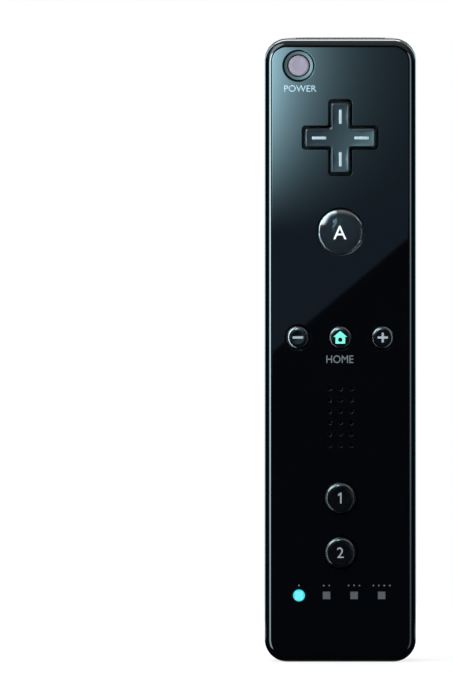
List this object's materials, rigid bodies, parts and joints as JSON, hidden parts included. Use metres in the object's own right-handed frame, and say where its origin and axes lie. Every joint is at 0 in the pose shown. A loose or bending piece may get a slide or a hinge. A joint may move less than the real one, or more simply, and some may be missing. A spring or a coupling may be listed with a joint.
{
  "type": "motion controller wand",
  "caption": "Hand-held one-hand motion controller: a slim wand with a gloss face of pads and buttons, a finger trigger behind and a battery grip with a lift-off cover.",
  "frame": {"origin": "middle of the accessory port's mouth in the tail face, on the plane where the two shells meet", "axes": "+Z from tail to nose, +Y from the button face to the back, +X to the right as the face is seen"},
  "size_m": [0.036, 0.0343, 0.148],
  "materials": {
    "gloss_shell": "high gloss black moulding",
    "satin_shell": "fine satin charcoal moulding with a cool sheen",
    "satin_cover": "fine satin charcoal moulding with a cool sheen",
    "trigger_plastic": "smooth satin black moulding",
    "pad_plastic": "semi-gloss black moulding with grey marks",
    "button_plastic": "gloss black moulding with a pale printed sign",
    "power_plastic": "smooth mauve grey moulding",
    "clear_lens": "smoked clear dome",
    "dark_core": "dark core with a white printed letter",
    "light_pipe": "clear windows, the first one lit cyan",
    "lamp": "pale resin lamps",
    "dark_window": "near-black infrared filter",
    "board": "green solder mask with tinned pads",
    "chip": "black resin",
    "shield": "tinned sheet",
    "switch": "moulded switch with a steel cap",
    "speaker_steel": "pressed basket with a dark cone",
    "foam": "open foam",
    "rubber": "translucent grey silicone",
    "motor_steel": "drawn steel can",
    "weight_metal": "sintered heavy metal",
    "steel": "bright steel",
    "spring_steel": "nickelled spring wire",
    "port_plastic": "pale grey moulded socket",
    "contact": "gilt contacts",
    "cell": "wrapped cells with bright ends",
    "sync_plastic": "red moulded button"
  },
  "bodies": {
    "power": {"power_button": "power_plastic"},
    "a_key": {"a_button": "clear_lens", "a_core": "dark_core"},
    "minus_key": {"minus_button": "button_plastic"},
    "home_key": {"home_button": "button_plastic"},
    "plus_key": {"plus_button": "button_plastic"},
    "one_key": {"one_button": "button_plastic"},
    "two_key": {"two_button": "button_plastic"},
    "sync_key": {"sync_button": "sync_plastic"},
    "pad_pivot": {"direction_pad_pivot": "pad_plastic"},
    "pad": {"direction_pad": "pad_plastic"},
    "trigger_lever": {"trigger": "trigger_plastic"},
    "cover": {"battery_cover": "satin_cover"},
    "rumble": {"rumble_weight": "weight_metal"},
    "root": {"front_shell": "gloss_shell", "rear_housing": "satin_shell", "trigger_pin": "steel", "trigger_spring": "spring_steel", "trigger_switch": "switch", "direction_membrane": "rubber", "power_membrane": "rubber", "a_membrane": "rubber", "menu_membrane": "rubber", "number_membrane": "rubber", "light_guide": "light_pipe", "indicator_lamps": "lamp", "speaker": "speaker_steel", "speaker_gasket": "foam", "circuit_board": "board", "chips": "chip", "shield_can": "shield", "motion_sensor": "chip", "rumble_motor": "motor_steel", "sync_switch": "switch", "infrared_window": "dark_window", "infrared_camera": "chip", "camera_lens": "clear_lens", "expansion_port": "port_plastic", "port_contacts": "contact", "battery_left": "cell", "battery_right": "cell", "battery_springs": "spring_steel", "battery_plates": "steel", "housing_screws": "steel"}
  },
  "joints": [
    {"name": "power_press", "type": "slide", "parent": "root", "child": "power", "axis": [0, 1, 0], "range_m": [0, 0.0005], "stiffness_N_per_m": 200, "deforming": ["power_membrane"]},
    {"name": "a_press", "type": "slide", "parent": "root", "child": "a_key", "axis": [0, 1, 0], "range_m": [0, 0.001], "stiffness_N_per_m": 200, "deforming": ["a_membrane"]},
    {"name": "minus_press", "type": "slide", "parent": "root", "child": "minus_key", "axis": [0, 1, 0], "range_m": [0, 0.0005], "stiffness_N_per_m": 200, "deforming": ["menu_membrane"]},
    {"name": "home_press", "type": "slide", "parent": "root", "child": "home_key", "axis": [0, 1, 0], "range_m": [0, 0.0005], "stiffness_N_per_m": 200, "deforming": ["menu_membrane"]},
    {"name": "plus_press", "type": "slide", "parent": "root", "child": "plus_key", "axis": [0, 1, 0], "range_m": [0, 0.0005], "stiffness_N_per_m": 200, "deforming": ["menu_membrane"]},
    {"name": "one_press", "type": "slide", "parent": "root", "child": "one_key", "axis": [0, 1, 0], "range_m": [0, 0.0007], "stiffness_N_per_m": 200, "deforming": ["number_membrane"]},
    {"name": "two_press", "type": "slide", "parent": "root", "child": "two_key", "axis": [0, 1, 0], "range_m": [0, 0.0007], "stiffness_N_per_m": 200, "deforming": ["number_membrane"]},
    {"name": "sync_press", "type": "slide", "parent": "root", "child": "sync_key", "axis": [0, -1, 0], "range_m": [0, 0.0004], "stiffness_N_per_m": 200},
    {"name": "pad_tilt", "type": "hinge", "parent": "root", "child": "pad_pivot", "pos_m": [0, -0.00435, 0.1247], "axis": [1, 0, 0], "range_deg": [-3, 3], "stiffness_Nm_per_rad": 0.02, "deforming": ["direction_membrane"]},
    {"name": "pad_lean", "type": "hinge", "parent": "pad_pivot", "child": "pad", "pos_m": [0, -0.00435, 0.1247], "axis": [0, 0, 1], "range_deg": [-3, 3], "stiffness_Nm_per_rad": 0.02, "deforming": ["direction_membrane"]},
    {"name": "trigger_pull", "type": "hinge", "parent": "root", "child": "trigger_lever", "pos_m": [0, 0.0094, 0.1224], "axis": [-1, 0, 0], "range_deg": [0, 7], "stiffness_Nm_per_rad": 0.05, "deforming": ["trigger_spring"]},
    {"name": "cover_lift", "type": "hinge", "parent": "root", "child": "cover", "pos_m": [0, 0.024, 0.09346], "axis": [1, 0, 0], "range_deg": [0, 30]},
    {"name": "weight_spin", "type": "hinge", "parent": "root", "child": "rumble", "pos_m": [-0.0123, 0.0022, 0.052], "axis": [0, 0, 1], "continuous": true}
  ]
}
